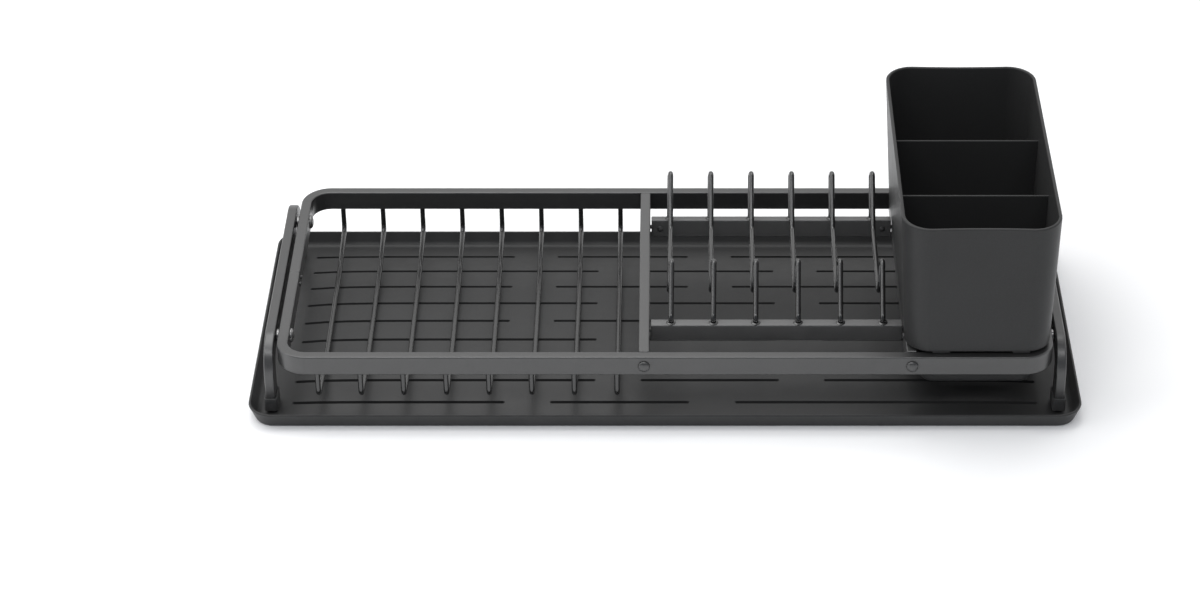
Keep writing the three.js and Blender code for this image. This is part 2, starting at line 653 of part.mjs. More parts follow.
// Plan limits of the basket's outside, from the floor up: x and y ranges, corner radius, height.
const BASKET_SECTIONS = [
  { x: [143.6, 209.2], y: [-81.6, 80.6], r: 9, z: BASKET_FLOOR_Z },
  { x: [142.4, 210.1], y: [-83.6, 82.4], r: 10, z: BASKET_SHOULDER_Z - 0.5 },
  { x: [135, 217], y: [-88, 86], r: 14, z: BASKET_SHOULDER_Z },
  { x: [130, 218.4], y: [-91.4, 89], r: BASKET_R, z: BASKET_RIM_Z },
];

function basketRing({ x, y, r, z }, inset, rise = 0) {
  const outline = roundedOutline({
    cx: (x[0] + x[1]) / 2,
    cy: (y[0] + y[1]) / 2,
    hx: (x[1] - x[0]) / 2 - inset,
    hy: (y[1] - y[0]) / 2 - inset,
    r: r - inset,
    arc: 5,
  });
  return outline.map(([px, py]) => [px, py, z + rise]);
}

// Low pads under the shoulder, which keep the basket's edge just clear of the frame.
function basketPads() {
  const padTop = BASKET_SHOULDER_Z + 0.5;
  const padBottom = BAR_TOP + FIT_GAP;
  const pads = [];
  for (const x of PAD_X) {
    for (const y of PAD_Y) {
      const pad = new THREE.BoxGeometry(...PAD_SIZE, padTop - padBottom);
      pads.push(pad.translate(x, y, (padTop + padBottom) / 2));
    }
  }
  return pads;
}

function drainSlots() {
  const slots = [];
  const floor = BASKET_SECTIONS[0];
  const x = (floor.x[0] + floor.x[1]) / 2;
  const edges = [floor.y[0], ...DIVIDER_Y, floor.y[1]];
  for (let i = 0; i + 1 < edges.length; i += 1) {
    const middle = (edges[i] + edges[i + 1]) / 2;
    for (const step of [-SLOT_STEP, 0, SLOT_STEP]) {
      const slot = new THREE.BoxGeometry(...SLOT_SIZE, 4 * BASKET_WALL);
      slots.push(slot.translate(x, middle + step, BASKET_FLOOR_Z + BASKET_WALL / 2));
    }
  }
  return slots;
}

function addBasket() {
  const [floor, neck, shoulder, rim] = BASKET_SECTIONS;
  const outerRings = [basketRing(floor, 0), basketRing(neck, 0), basketRing(shoulder, 0), basketRing(rim, 0)];
  const innerRings = [
    basketRing(rim, BASKET_WALL),
    basketRing(shoulder, BASKET_WALL, BASKET_WALL),
    basketRing(neck, BASKET_WALL, BASKET_WALL + 0.5),
    basketRing(floor, BASKET_WALL, BASKET_WALL),
  ];
  const block = toSolid(loft(outerRings));
  let solid = toSolid(loft([...outerRings, ...innerRings]));
  for (const y of DIVIDER_Y) {
    const height = DIVIDER_TOP_Z - BASKET_FLOOR_Z;
    const slab = new THREE.BoxGeometry(2 * (rim.x[1] - rim.x[0]), DIVIDER_T, height);
    slab.translate(rim.x[0], y, BASKET_FLOOR_Z + height / 2);
    solid = solid.add(toSolid(slab).intersect(block));
  }
  for (const pad of basketPads()) solid = solid.add(toSolid(pad));
  for (const slot of drainSlots()) solid = solid.subtract(toSolid(slot));
  addPiece("cutlery_basket", toGeometry(solid), "basket");
}

// ---- the assembly -------------------------------------------------------------------------------

addTray();
addFrame();
addCrossbar("crossbar_centre", CROSSBAR_CENTRE_X);
addCrossbar("crossbar_right", CROSSBAR_RIGHT_X);
for (const [place, x] of [["centre", CROSSBAR_CENTRE_X], ["right", CROSSBAR_RIGHT_X]]) {
  addRivet(`rivet_${place}_front`, x, false);
  addRivet(`rivet_${place}_rear`, x, true);
}
for (const [end, side] of [["front", -1], ["rear", 1]]) {
  addPlateRail(`plate_rail_${end}`, side);
  for (const [hand, railEnd] of [["left", -1], ["right", 1]]) {
    addRailScrew(`rail_screw_${end}_${hand}`, side, railEnd);
    addRailPin(`rail_pin_${end}_${hand}`, side, railEnd);
  }
}
for (const [hand, railEnd] of [["left", -1], ["right", 1]]) addStopPin(`stop_pin_${hand}`, railEnd);
for (let i = 0; i < GLASS_WIRES; i += 1) addGlassWire(`glass_wire_${i + 1}`, glassWireX(i));
for (let j = 0; j < PLATE_WIRES; j += 1) addPlateWire(`plate_wire_${j + 1}`, plateWireX(j));
for (const [hand, side] of [["left", -1], ["right", 1]]) {
  addLegBracket(`leg_bracket_${hand}`, side);
  for (const [end, direction] of [["front", -1], ["rear", 1]]) {
    addFoot(`foot_${hand}_${end}`, side, direction * (BRACKET_HALF_Y - BAR_H / 2));
    addBracketPin(`bracket_pin_${hand}_${end}`, side, direction * PIN_Y);
    addPinSpacer(`pin_spacer_${hand}_${end}`, side, direction * PIN_Y);
  }
}
SPLICE_PIN_Y.forEach((y, index) => addSplicePin(`splice_pin_${index + 1}`, y));
addBasket();

export default group;
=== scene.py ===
"""Looks of the dish drying rack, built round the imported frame.

Shapes are worked out in millimetres and become metres when a piece is made. Each CAD node is stood for by a
finished piece in the same place, of the same size but for the rounded edges, fillets, collars and grooves
that the plain solids leave out, and the heads of pins, which here lie on the face that they hold.
"""

import json
import math

import bmesh
import bpy
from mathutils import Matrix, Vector


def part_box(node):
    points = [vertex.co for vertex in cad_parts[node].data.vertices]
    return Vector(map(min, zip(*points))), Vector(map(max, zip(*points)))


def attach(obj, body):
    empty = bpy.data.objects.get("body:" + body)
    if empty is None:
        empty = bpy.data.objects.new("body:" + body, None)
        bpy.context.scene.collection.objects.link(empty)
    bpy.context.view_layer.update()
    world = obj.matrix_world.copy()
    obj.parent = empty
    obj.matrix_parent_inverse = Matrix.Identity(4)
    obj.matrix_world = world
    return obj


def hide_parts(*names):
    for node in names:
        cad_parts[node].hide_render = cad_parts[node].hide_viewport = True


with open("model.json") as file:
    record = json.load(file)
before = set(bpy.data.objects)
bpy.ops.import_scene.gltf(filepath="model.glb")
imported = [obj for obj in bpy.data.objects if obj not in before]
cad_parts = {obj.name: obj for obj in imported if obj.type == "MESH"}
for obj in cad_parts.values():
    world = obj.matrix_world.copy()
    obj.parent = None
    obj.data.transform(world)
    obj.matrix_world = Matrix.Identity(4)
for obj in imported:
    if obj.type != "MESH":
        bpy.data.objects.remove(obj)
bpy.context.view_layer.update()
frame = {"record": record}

MM = 0.001
X_AXIS = Vector((1, 0, 0))
Y_AXIS = Vector((0, 1, 0))
Z_AXIS = Vector((0, 0, 1))

RECORD = frame["record"]
BODY_OF = {node: body for body, nodes in RECORD["behaviour"]["bodies"].items() for node in nodes}


# ---- camera -----------------------------------------------------------------------------------------

CAMERA_LENS = 95.1
CAMERA_SHIFT_X = -0.0542
CAMERA_PLACE = (0.0, -1.5475, 1.063)
CAMERA_DOWN = 34.0  # degrees below the horizon


def make_camera():
    data = bpy.data.cameras.new("camera")
    data.sensor_width = 36.0
    data.lens = CAMERA_LENS
    data.shift_x = CAMERA_SHIFT_X
    camera = bpy.data.objects.new("camera", data)
    camera.location = CAMERA_PLACE
    camera.rotation_euler = (math.radians(90 - CAMERA_DOWN), 0, 0)
    bpy.context.scene.collection.objects.link(camera)
    bpy.context.scene.camera = camera


# ---- materials --------------------------------------------------------------------------------------


class Shading:
    """One procedural material, with short calls for the nodes that the finishes share."""

    def __init__(self, name):
        self.material = bpy.data.materials.new(name)
        self.material.use_nodes = True
        self.tree = self.material.node_tree
        self.surface = self.tree.nodes["Principled BSDF"]
        self.place = self.tree.nodes.new("ShaderNodeTexCoord").outputs["Object"]

    def link(self, output, socket):
        self.tree.links.new(output, socket)

    def noise(self, size_mm, detail=3.0, stretch=(1, 1, 1)):
        """Noise whose features are about size_mm across, drawn out along an axis by stretch."""
        mapping = self.tree.nodes.new("ShaderNodeMapping")
        mapping.inputs["Scale"].default_value = [1 / s for s in stretch]
        node = self.tree.nodes.new("ShaderNodeTexNoise")
        node.inputs["Scale"].default_value = 1 / (size_mm * MM)
        node.inputs["Detail"].default_value = detail
        self.link(self.place, mapping.inputs["Vector"])
        self.link(mapping.outputs["Vector"], node.inputs["Vector"])
        return node.outputs["Fac"]

    def cells(self, size_mm):
        node = self.tree.nodes.new("ShaderNodeTexVoronoi")
        node.inputs["Scale"].default_value = 1 / (size_mm * MM)
        self.link(self.place, node.inputs["Vector"])
        return node.outputs["Distance"]

    def spread(self, value, low, high, from_low=0.3, from_high=0.7):
        node = self.tree.nodes.new("ShaderNodeMapRange")
        node.inputs["From Min"].default_value = from_low
        node.inputs["From Max"].default_value = from_high
        node.inputs["To Min"].default_value = low
        node.inputs["To Max"].default_value = high
        self.link(value, node.inputs["Value"])
        return node.outputs["Result"]

    def mix(self, factor, first, second):
        """Mixes two colours; each is an output or a plain (r, g, b)."""
        node = self.tree.nodes.new("ShaderNodeMix")
        node.data_type = "RGBA"
        for value, socket in ((factor, node.inputs[0]), (first, node.inputs[6]), (second, node.inputs[7])):
            if isinstance(value, tuple):
                socket.default_value = (*value, 1)
            else:
                self.link(value, socket)
        return node.outputs[2]

    def bump(self, height, depth_mm, strength=1.0, under=None):
        node = self.tree.nodes.new("ShaderNodeBump")
        node.inputs["Distance"].default_value = depth_mm * MM
        node.inputs["Strength"].default_value = strength
        self.link(height, node.inputs["Height"])
        if under is not None:
            self.link(under, node.inputs["Normal"])
        return node.outputs["Normal"]

    def edges(self, low, high):
        """Rises to 1 on rounded convex edges, and spreads over plain faces that have no vertices inside."""
        geometry = self.tree.nodes.new("ShaderNodeNewGeometry")
        return self.spread(geometry.outputs["Pointiness"], 0, 1, low, high)

    def finish(self, colour, roughness, normal):
        self.link(colour, self.surface.inputs["Base Color"])
        self.link(roughness, self.surface.inputs["Roughness"])
        self.link(normal, self.surface.inputs["Normal"])
        return self.material


def shade(grey, warmth=0.0):
    """A near-neutral colour; warmth moves it slightly from blue to red."""
    return (grey * (1 + warmth), grey, grey * (1 - warmth))


def painted_steel():
    """Satin dark coating on flat bar: a fine orange peel, with a painted highlight that lightens the edges.
    """
    s = Shading("painted_steel")
    s.surface.inputs["Specular IOR Level"].default_value = 0.95
    body = s.mix(s.spread(s.noise(34), 0, 1), shade(0.018, -0.01), shade(0.023))
    fleck = s.mix(s.spread(s.noise(0.9, 2), 0, 0.35), body, shade(0.04))
    # painted highlight: rounded edges, and plain faces that have no inner vertices, are mixed toward a
    # lighter grey that stands for the line of light along the edges
    colour = s.mix(s.edges(0.52, 0.6), fleck, shade(0.048))
    roughness = s.spread(s.noise(6, 4), 0.3, 0.4)
    peel = s.bump(s.noise(0.8, 3), 0.02)
    return s.finish(colour, roughness, s.bump(s.noise(14, 2), 0.05, 0.6, peel))


def coated_wire():
    """The same coating on drawn wire, which shows faint draw lines and a brighter gloss."""
    s = Shading("coated_wire")
    s.surface.inputs["Specular IOR Level"].default_value = 0.9
    body = s.mix(s.spread(s.noise(18), 0, 1), shade(0.009, -0.01), shade(0.013))
    colour = s.mix(s.spread(s.noise(0.7, 2), 0, 0.3), body, shade(0.018))
    roughness = s.spread(s.noise(5, 4), 0.2, 0.27)
    return s.finish(colour, roughness, s.bump(s.noise(0.7, 3, (1, 6, 6)), 0.008))


def moulded_plastic(name, dark, light, gloss, rough, grain_mm):
    """Matte moulded polypropylene with a spark-eroded grain."""
    s = Shading(name)
    s.surface.inputs["Specular IOR Level"].default_value = gloss
    body = s.mix(s.spread(s.noise(60, 4), 0, 1), shade(dark), shade(light, -0.01))
    colour = s.mix(s.spread(s.cells(grain_mm), 0, 0.3, 0.2, 0.8), body, shade(light * 1.4))
    roughness = s.spread(s.noise(9, 5), rough - 0.03, rough + 0.03)
    grain = s.bump(s.cells(grain_mm), 0.005, 0.7)
    return s.finish(colour, roughness, s.bump(s.noise(45, 1), 0.03, 0.5, grain))


def tray_plastic():
    return moulded_plastic("tray_plastic", 0.024, 0.029, 0.3, 0.46, 0.5)


def basket_plastic():
    return moulded_plastic("basket_plastic", 0.029, 0.033, 0.2, 0.42, 0.6)


def foot_rubber():
    """Soft black rubber with a dusty bloom."""
    s = Shading("foot_rubber")
    s.surface.inputs["Specular IOR Level"].default_value = 0.3
    colour = s.mix(s.spread(s.noise(3, 5), 0, 1), shade(0.045), shade(0.06))
    roughness = s.spread(s.noise(2, 3), 0.6, 0.75)
    return s.finish(colour, roughness, s.bump(s.noise(0.5, 3), 0.03))


def bright_steel():
    """Plain zinc-plated steel with fine turning marks."""
    s = Shading("bright_steel")
    s.surface.inputs["Metallic"].default_value = 0.95
    colour = s.mix(s.spread(s.noise(1.5, 4), 0, 1), shade(0.2), shade(0.3, 0.01))
    roughness = s.spread(s.noise(0.8, 3), 0.3, 0.45)
    return s.finish(colour, roughness, s.bump(s.noise(0.4, 2), 0.01))


def white_table():
    s = Shading("white_table")
    s.surface.inputs["Specular IOR Level"].default_value = 0.2
    s.surface.inputs["Emission Color"].default_value = (0.86, 0.9, 1, 1)
    s.surface.inputs["Emission Strength"].default_value = 0.06
    colour = s.mix(s.spread(s.noise(300), 0, 1), shade(0.93), shade(0.95))
    return s.finish(colour, s.spread(s.noise(40), 0.8, 0.9), s.bump(s.noise(2), 0.005))


# ---- mesh building ----------------------------------------------------------------------------------

SHARP_ANGLE = 35  # faces that meet at less than this many degrees shade as one surface


def node_box(node):
    """Lowest and highest corner of a CAD node, in millimetres."""
    low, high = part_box(node)
    return low / MM, high / MM


def merged(parts):
    verts, faces = [], []
    for part_verts, part_faces in parts:
        faces += [[index + len(verts) for index in face] for face in part_faces]
        verts += part_verts
    return verts, faces


def skin(rings, closed=False):
    """Quads between rings of equal length. An open skin's end rings are filled."""
    count = len(rings[0])
    verts = [point for ring in rings for point in ring]
    faces = []
    for k in range(len(rings) if closed else len(rings) - 1):
        here, there = k * count, (k + 1) % len(rings) * count
        for i in range(count):
            j = (i + 1) % count
            faces.append([here + i, here + j, there + j, there + i])
    if not closed:
        faces.append(list(reversed(range(count))))
        faces.append([(len(rings) - 1) * count + i for i in range(count)])
    return verts, faces


def make_mesh(name, parts, sharp=SHARP_ANGLE):
    verts, faces = merged(parts)
    mesh = bpy.data.meshes.new(name)
    mesh.from_pydata([tuple(Vector(v) * MM) for v in verts], [], faces)
    work = bmesh.new()
    work.from_mesh(mesh)
    bmesh.ops.remove_doubles(work, verts=work.verts, dist=1e-7)
    bmesh.ops.recalc_face_normals(work, faces=work.faces)
    work.to_mesh(mesh)
    work.free()
    smooth_mesh(mesh, sharp)
    return mesh


def smooth_mesh(mesh, sharp):
    mesh.shade_smooth()
    mesh.set_sharp_from_angle(angle=math.radians(sharp))


def add_object(name, mesh, material):
    made = bpy.data.objects.new(name, mesh)
    bpy.context.scene.collection.objects.link(made)
    mesh.materials.clear()
    mesh.materials.append(material)
    return made


def stand_for(node, mesh, material):
    """The finished piece that stands for a CAD node: it rides on the node's body and takes the given
    material.
    """
    made = add_object(f"{node}_finished", mesh, material)
    even = made.modifiers.new("even_normals", "WEIGHTED_NORMAL")
    even.keep_sharp = True
    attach(made, BODY_OF[node])
    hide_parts(node)
    return made


def finished(node, parts, material, sharp=SHARP_ANGLE):
    return stand_for(node, make_mesh(f"{node}_finished", parts, sharp), material)


def arc(before, corner, after, radius, step=9.0):
    """Points of the arc that rounds a corner between two straight runs."""
    into = (corner - before).normalized()
    out = (after - corner).normalized()
    turn = into.angle(out)
    if radius <= 0 or turn < 0.001:
        return [corner]
    centre = corner + (out - into).normalized() * (radius / math.cos(turn / 2))
    reach = radius * math.tan(turn / 2)
    first = corner - into * reach - centre
    last = corner + out * reach - centre
    steps = max(2, math.ceil(math.degrees(turn) / step))
    points = []
    for share in [k / steps for k in range(steps + 1)]:
        swung = first * math.sin((1 - share) * turn) + last * math.sin(share * turn)
        points.append(centre + swung / math.sin(turn))
    return points


def rounded_path(corners, closed=False, step=9.0):
    """Straight runs joined by arcs. A corner is (point, radius); an open path's ends have no radius."""
    points = []
    for k, (corner, radius) in enumerate(corners):
        if not closed and k in (0, len(corners) - 1):
            points.append(Vector(corner))
            continue
        before = Vector(corners[k - 1][0])
        after = Vector(corners[(k + 1) % len(corners)][0])
        points += arc(before, Vector(corner), after, radius, step)
    return points


def rounded_rectangle(width, height, radius, steps=4):
    """Plan points of a rounded rectangle about the origin, anticlockwise."""
    points = []
    for quarter in range(4):
        sx = 1 if quarter in (0, 3) else -1
        sy = 1 if quarter in (0, 1) else -1
        centre = (sx * (width / 2 - radius), sy * (height / 2 - radius))
        for k in range(steps + 1):
            a = math.radians(90 * (quarter + k / steps))
            points.append((centre[0] + radius * math.cos(a), centre[1] + radius * math.sin(a)))
    return points


def directions(path, closed):
    """The direction of travel at each point, and how much a mitre there widens the section."""
    found = []
    for k, here in enumerate(path):
        before = path[k - 1] if closed or k > 0 else here
        after = path[(k + 1) % len(path)] if closed or k + 1 < len(path) else here
        into = (here - before).normalized()
        out = (after - here).normalized()
        along = (into + out).normalized()
        found.append((along, 1 / max(0.5, along.dot(out if out.length else into))))
    return found


def bar(path, size, edge, up, closed=False, chamfer=0.3):
    """A flat bar of size (across, along up) with rounded edges, bent along a flat path square to up."""
    width, height = size
    full = rounded_rectangle(width, height, edge)
    small = rounded_rectangle(width - 2 * chamfer, height - 2 * chamfer, max(edge - chamfer, 0.1))
    rings = []
    for here, (along, mitre) in zip(path, directions(path, closed)):
        across = along.cross(up) * mitre
        rings.append([here + across * u + up * v for u, v in full])
    if not closed:
        for end, inward in ((0, 1), (-1, -1)):
            along = directions(path, closed)[end][0]
            across = along.cross(up)
            cap = [path[end] + across * u + up * v for u, v in small]
            rings[end] = [point + along * inward * chamfer for point in rings[end]]
            rings.insert(0 if end == 0 else len(rings), cap)
    return skin(rings, closed)


def tube(path, radii, sides=18):
    """A round wire along a path, with one radius for each point."""
    rings = []
    normal = None
    for here, radius, (along, _) in zip(path, radii, directions(path, False)):
        if normal is None:
            normal = along.orthogonal().normalized()
        normal = (normal - along * normal.dot(along)).normalized()
        side = along.cross(normal)
        angles = [2 * math.pi * k / sides for k in range(sides)]
        rings.append([here + (normal * math.cos(a) + side * math.sin(a)) * radius for a in angles])
    return skin(rings)


def lathe(profile, origin, axis, sides=32):
    """A turned piece. The profile runs from end to end as (distance along the axis, radius) points."""
    normal = axis.orthogonal().normalized()
    side = axis.cross(normal)
    angles = [2 * math.pi * k / sides for k in range(sides)]
    rings = []
    for distance, radius in profile:
        centre = Vector(origin) + axis * distance
        rings.append([centre + (normal * math.cos(a) + side * math.sin(a)) * radius for a in angles])
    return skin(rings)


def headed_pin(origin, axis, head_radius, proud, shank_radius, shank, edge=0.35):
    """A round-headed pin: the head stands proud of the face at origin, the shank goes on along axis."""
    dome = proud - edge
    profile = []
    for k in range(1, 9):
        a = math.radians(90 * k / 8)
        profile.append((-edge - dome * math.cos(a), head_radius * math.sin(a)))
    profile[0:0] = [(-proud, 0.02)]
    profile += [(-0.1, head_radius), (0.0, head_radius - 0.12), (0.0, shank_radius)]
    profile += [(shank - 0.3, shank_radius), (shank, shank_radius - 0.3)]
    return lathe(profile, origin, axis)


# ---- drip tray --------------------------------------------------------------------------------------

TRAY_CORNER = 14.5  # plan radius of the rim's corners
TRAY_FLOOR_EDGE = 5.5  # the floor meets the wall this far inside the rim
TRAY_FLOOR_EDGE_Z = 2.5
TRAY_CROWN = 6.5
CROWN_END_POWER = 13  # the crown falls away only near the short ends
CROWN_SIDE_POWER = 2  # and gradually towards the long sides
TRAY_SHEET = 2.0
FLOOR_MARGIN = 1.8  # the floor's own curve goes on this far past its grid
GROOVE_HALF_WIDTH = 1.1
GROOVE_DEPTH = 1.5
GROOVE_SLOPE = 0.3  # the share of the half width that a groove's sloping side takes
GROOVE_STATIONS = (0, 0.76, 0.93, GROOVE_HALF_WIDTH)  # grid lines across a groove, from its middle
GROOVE_END_STATIONS = (0, 0.25, 0.5, 0.75, 1.0)  # and on either side of its end
GROOVE_PITCH = 19.0
GROOVE_END = 213.0
GROOVE_GAPS = ((-91.6, -65.7), (14.0, 40.0))  # bare stretches of a row; its neighbours have them mirrored


def groove_rows():
    """Each row of grooves as (y, [(x from, x to), ...])."""
    rows = []
    for step in range(-4, 5):
        flip = -1 if step % 2 else 1
        stops = [-GROOVE_END] + [x for gap in GROOVE_GAPS for x in gap] + [GROOVE_END]
        stops = sorted(flip * x for x in stops)
        rows.append((step * GROOVE_PITCH, [(stops[k], stops[k + 1]) for k in (0, 2, 4)]))
    return rows


def groove_depth(x, y, rows):
    """Depth of the round-ended grooves below the floor at a point."""
    for row_y, runs in rows:
        if abs(y - row_y) >= GROOVE_HALF_WIDTH:
            continue
        for start, end in runs:
            past = max(start + GROOVE_HALF_WIDTH - x, x - end + GROOVE_HALF_WIDTH, 0)
            away = math.hypot(past, y - row_y) / GROOVE_HALF_WIDTH
            share = min(1, max(0, (1 - away) / GROOVE_SLOPE))
            if share:
                return GROOVE_DEPTH * share * share * (3 - 2 * share)
    return 0


def grid_lines(half, marks, offsets, spacing):
    """Sorted stations from -half to half: close to every mark, and no further apart than spacing."""
    stations = {-half, half}
    stations.update(round(mark + offset, 3) for mark in marks for offset in offsets)
    ordered = sorted(s for s in stations if abs(s) <= half)
    lines = []
    for first, last in zip(ordered, ordered[1:]):
        steps = max(1, math.ceil((last - first) / spacing))
        lines += [first + (last - first) * k / steps for k in range(steps)]
    return lines + [ordered[-1]]


def tray_outline(xs, ys, away, steps=8):
    """Plan points at a distance round the rectangle xs by ys, each with the rectangle point it belongs to."""
    sides = [
        ([(x, ys[0]) for x in xs], -90),
        ([(xs[-1], y) for y in ys], 0),
        ([(x, ys[-1]) for x in reversed(xs)], 90),
        ([(xs[0], y) for y in reversed(ys)], 180),
    ]
    points = []
    for side, facing in sides:
        turns = [(core, facing) for core in side]
        turns += [(side[-1], facing + 90 * k / steps) for k in range(1, steps)]
        for (x, y), degrees in turns:
            a = math.radians(degrees)
            points.append(((x + away * math.cos(a), y + away * math.sin(a)), (x, y)))
    return points


def tray_parts():
    """A grid for the floor's top and underside, and rings of points for the wall that joins them."""
    low, high = node_box("tray")
    half_x, half_y, rim_z = high.x - TRAY_CORNER, high.y - TRAY_CORNER, high.z
    edge_x, edge_y = high.x - TRAY_FLOOR_EDGE, high.y - TRAY_FLOOR_EDGE
    rows = groove_rows()

    def floor_z(x, y):
        along_x = 1 - min(1, abs(x) / edge_x) ** CROWN_END_POWER
        along_y = 1 - min(1, abs(y) / edge_y) ** CROWN_SIDE_POWER
        return TRAY_FLOOR_EDGE_Z + TRAY_CROWN * along_x * along_y

    ends = sorted({x for _, runs in rows for run in runs for x in run})
    end_offsets = [side * step for side in (-1, 1) for step in GROOVE_END_STATIONS]
    xs = grid_lines(half_x, ends, end_offsets, 12)
    across = [side * step for side in (-1, 1) for step in GROOVE_STATIONS]
    ys = grid_lines(half_y, [y for y, _ in rows], across, 6)

    # The wall's section: (distance out from the grid's edge, height, 0) and the radius of the bend there.
    wall = rounded_path(
        [
            ((3.5, TRAY_FLOOR_EDGE_Z, 0), 0),
            ((9.0, TRAY_FLOOR_EDGE_Z, 0), 5.0),
            ((13.0, rim_z, 0), 0.45),
            ((14.5, rim_z, 0), 0.6),
            ((10.5, low.z, 0), 1.6),
            ((4.5, low.z, 0), 0.5),
            ((3.9, 1.2, 0), 0),
        ],
        step=15,
    )
    rings = [(FLOOR_MARGIN, None)] + [(point.x, point.y) for point in wall]

    verts = [(x, y, floor_z(x, y) - groove_depth(x, y, rows)) for y in ys for x in xs]
    under_start = len(verts)
    verts += [(x, y, floor_z(x, y) - TRAY_SHEET) for y in ys for x in xs]
    columns = len(xs)
    faces = []
    for start in (0, under_start):
        for j in range(len(ys) - 1):
            for i in range(columns - 1):
                corner = start + j * columns + i
                faces.append([corner, corner + 1, corner + columns + 1, corner + columns])

    index_of = {(x, y): j * columns + i for j, y in enumerate(ys) for i, x in enumerate(xs)}
    previous = [index_of[core] for _, core in tray_outline(xs, ys, 1)]
    core_ring = list(previous)
    for away, z in rings:
        ring = []
        for (x, y), _ in tray_outline(xs, ys, away):
            lift = floor_z(x, y) - TRAY_FLOOR_EDGE_Z
            if z is None:
                height = floor_z(x, y)
            else:
                height = z + lift if z > TRAY_FLOOR_EDGE_Z - 0.01 else z
            ring.append(len(verts))
            verts.append((x, y, height))
        faces += ring_faces(previous, ring)
        previous = ring
    faces += ring_faces(previous, [under_start + index for index in core_ring])
    return [(verts, faces)]


def ring_faces(first, second):
    """Faces between two rings of vertex numbers; repeated numbers make triangles or nothing."""
    faces = []
    for i in range(len(first)):
        j = (i + 1) % len(first)
        face = []
        for index in (first[i], first[j], second[j], second[i]):
            if index not in face:
                face.append(index)
        if len(face) > 2:
            faces.append(face)
    return faces


# ---- frame, crossbars, rails, brackets --------------------------------------------------------------

BAR_T = 6.0
BAR_H = 12.0
BAR_EDGE = 0.9
FRAME_CORNER = 17.0
SEAM_Y = -3.5  # where the bar's ends meet, between the splice pins
SEAM_GAP = 0.15
RAIL_H = 11.5
RAIL_TILT = math.radians(7)
BRACKET_R = 20.0
FASTENER_Z = 40.0
SCREW_HEAD_R = 2.4
SCREW_HEAD_H = 1.2
SCREW_SHANK_R = 1.2
SCREW_RECESS = 2.0
RECESS_CLEARANCE = 0.3
SMALL_HEAD_R = 1.7
SMALL_HEAD_H = 0.8
SMALL_SHANK_R = 0.9
SMALL_SHANK = 3.4
PIN_PROUD = 1.4  # a stop pin's CAD node starts this far from the face that the pin is pressed into
RIVET_HEAD_R = 3.4
RIVET_SHANK_R = 1.5
BRACKET_HEAD_R = 4.0
BRACKET_SHANK_R = 1.6
SPACER_EDGE = 0.3
SPLICE_HEAD_R = 1.2
SPLICE_SHANK_R = 0.7
SPLICE_SHANK = 2.5


def frame_bar():
    """One bar bent to a rounded rectangle, starting and ending at the seam in its left side."""
    low, high = node_box("frame_bar")
    inset = BAR_T / 2
    left, right = low.x + inset, high.x - inset
    front, rear = low.y + inset, high.y - inset
    z = (low.z + high.z) / 2
    r = FRAME_CORNER - inset
    corners = [
        ((left, SEAM_Y - SEAM_GAP / 2, z), 0),
        ((left, front, z), r),
        ((right, front, z), r),
        ((right, rear, z), r),
        ((left, rear, z), r),
        ((left, SEAM_Y + SEAM_GAP / 2, z), 0),
    ]
    return [bar(rounded_path(corners, step=6), (BAR_T, BAR_H), BAR_EDGE, Z_AXIS, chamfer=0.25)]


def crossbar(node, material):
    """A straight bar with the two recesses of the rails' end screws in its far face."""
    low, high = node_box(node)
    middle = (low + high) / 2
    path = [Vector((middle.x, low.y, middle.z)), Vector((middle.x, high.y, middle.z))]
    mesh = make_mesh(f"{node}_bar", [bar(path, (BAR_T, BAR_H), BAR_EDGE, Z_AXIS)])
    far = -1 if node == "crossbar_centre" else 1
    face = middle.x + far * BAR_T / 2
    recesses = []
    for side in (-1, 1):
        centre = rail_centre(side)
        radius = SCREW_HEAD_R + RECESS_CLEARANCE
        profile = [(-1, radius), (SCREW_RECESS, radius)]
        recesses.append(lathe(profile, (face, centre.y, centre.z), X_AXIS * -far))
    mesh = combined(f"{node}_finished", mesh, recesses, "DIFFERENCE")
    smooth_mesh(mesh, SHARP_ANGLE)
    return stand_for(node, mesh, material)


def rail_side(end):
    return 1 if end == "rear" else -1


def rail_up(side):
    return Vector((0, side * math.sin(RAIL_TILT), math.cos(RAIL_TILT)))


def rail_centre(side):
    low, high = node_box("plate_rail_rear" if side > 0 else "plate_rail_front")
    return (low + high) / 2


def plate_rail(node, side):
    low, high = node_box(node)
    centre = rail_centre(side)
    path = [Vector((low.x, centre.y, centre.z)), Vector((high.x, centre.y, centre.z))]
    return [bar(path, (BAR_T, RAIL_H), BAR_EDGE, rail_up(side))]


def leg_bracket(node):
    low, high = node_box(node)
    x = (low.x + high.x) / 2
    outer, top = high.y - BAR_H / 2, high.z - BAR_H / 2
    bend = BRACKET_R - BAR_H / 2
    corners = [
        ((x, -outer, low.z), 0),
        ((x, -outer, top), bend),
        ((x, outer, top), bend),
        ((x, outer, low.z), 0),
    ]
    return [bar(rounded_path(corners, step=6), (BAR_H, high.x - low.x), BAR_EDGE, X_AXIS)]


# ---- fasteners --------------------------------------------------------------------------------------


def frame_rivet(node, side):
    """The dome-headed rivet at a crossbar's end, its head on the outer face of the frame."""
    low, high = node_box(node)
    bar_low, bar_high = node_box("frame_bar")
    face, tip, end = (bar_high.y, high.y, low.y) if side > 0 else (bar_low.y, low.y, high.y)
    origin = ((low.x + high.x) / 2, face, FASTENER_Z)
    proud, shank = abs(tip - face), abs(end - face)
    return [headed_pin(origin, Y_AXIS * -side, RIVET_HEAD_R, proud, RIVET_SHANK_R, shank)]


